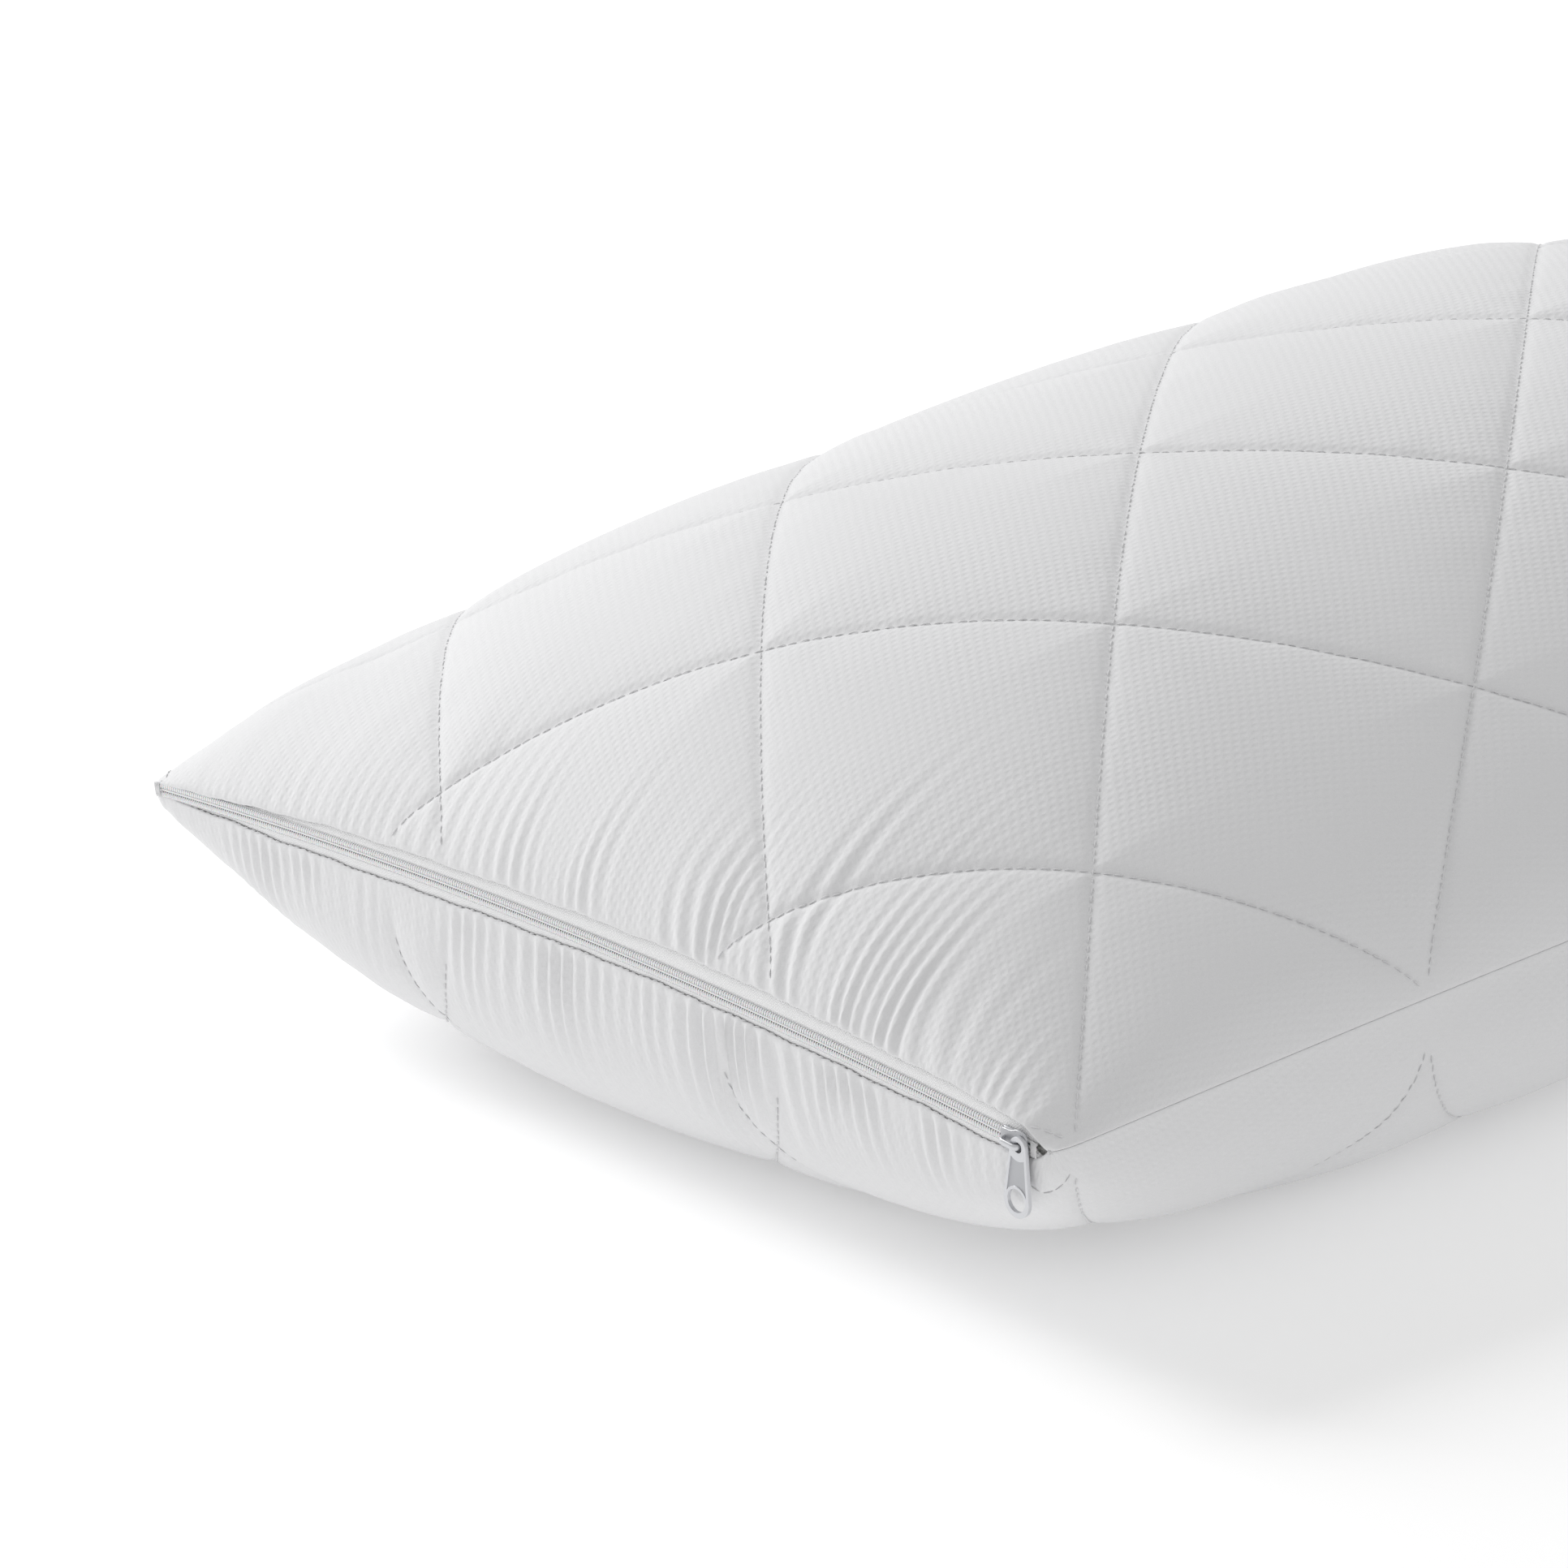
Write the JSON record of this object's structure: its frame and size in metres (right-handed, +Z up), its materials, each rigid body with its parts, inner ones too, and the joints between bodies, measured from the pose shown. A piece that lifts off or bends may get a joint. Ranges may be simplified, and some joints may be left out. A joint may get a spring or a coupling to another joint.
{
  "type": "bed pillow",
  "caption": "Stuffed rectangular bed pillow in a diamond-quilted zip cover, with an inner pillow, wadding plies, coil zip, slider and hanging pull tab.",
  "frame": {"origin": "centre of the flat patch that the pillow rests on", "axes": "+X across the pillow along its zip, towards the closed slider; +Y along its length, away from the zip; +Z up"},
  "size_m": [0.48, 0.7005, 0.1958],
  "materials": {
    "quilted_knit": "soft white knitted micro-jacquard",
    "wadding": "bonded polyester wadding",
    "backing_cloth": "plain non-woven",
    "thread": "spun polyester thread",
    "zip_tape": "herringbone woven tape",
    "zip_coil": "nylon monofilament coil",
    "liner_cloth": "plain woven",
    "polyester_fibre": "loose hollow fibre",
    "slider_metal": "satin light grey enamel on cast zinc"
  },
  "bodies": {
    "pillow": {"cover_top_face": "quilted_knit", "cover_top_wadding": "wadding", "cover_top_backing": "backing_cloth", "cover_bottom_face": "quilted_knit", "cover_bottom_wadding": "wadding", "cover_bottom_backing": "backing_cloth", "quilting_thread_top": "thread", "quilting_thread_bottom": "thread", "side_seam_thread": "thread", "zipper_tape_upper": "zip_tape", "zipper_tape_lower": "zip_tape", "zipper_coil_upper": "zip_coil", "zipper_coil_lower": "zip_coil", "coil_thread_upper": "thread", "coil_thread_lower": "thread", "zip_topstitch_upper": "thread", "zip_topstitch_lower": "thread", "zip_end_tack_open": "thread", "zip_end_tack_closed": "thread", "liner_top": "liner_cloth", "liner_bottom": "liner_cloth", "liner_seam_thread": "thread", "filling": "polyester_fibre"},
    "slider": {"zip_slider": "slider_metal", "slider_bail": "slider_metal"},
    "tab": {"zip_pull_tab": "slider_metal"}
  },
  "joints": [
    {"name": "slider_travel", "type": "hinge", "parent": "pillow", "child": "slider", "pos_m": [0, -0.348, -2.71297], "axis": [0, 1, 0], "range_deg": [-9.13, 0]},
    {"name": "tab_swing", "type": "hinge", "parent": "slider", "child": "tab", "pos_m": [0.22809, -0.3503, 0.079], "axis": [0, -1, 0], "range_deg": [-45, 50]}
  ]
}
